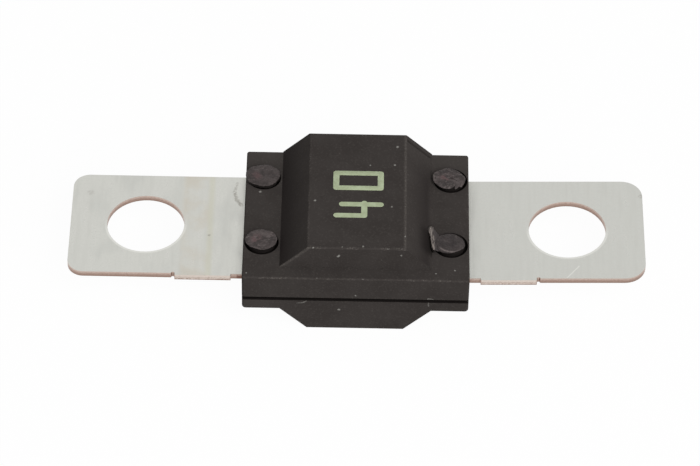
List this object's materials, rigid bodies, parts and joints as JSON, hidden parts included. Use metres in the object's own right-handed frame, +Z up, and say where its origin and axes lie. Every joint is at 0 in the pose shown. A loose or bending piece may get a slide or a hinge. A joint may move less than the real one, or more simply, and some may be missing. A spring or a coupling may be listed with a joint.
{
  "type": "bolt-down strip fuse",
  "caption": "Bolt-down fuse: a flat plated strip with a stud hole in each tab, clamped through a black moulded housing with sloped blocks above and below.",
  "frame": {"origin": "on the flat underside of the lower block, straight below the middle point between the stud holes", "axes": "+X along the strip towards the tab that is bent up a little, +Y towards the rear, away from the front ledge, +Z up, towards the staked pin heads"},
  "size_m": [0.0407, 0.0125, 0.0069],
  "materials": {
    "plated_copper": "satin",
    "black_moulding": "satin"
  },
  "bodies": {
    "root": {"fuse_strip": "plated_copper", "upper_housing": "black_moulding", "lower_housing": "black_moulding"}
  },
  "joints": []
}
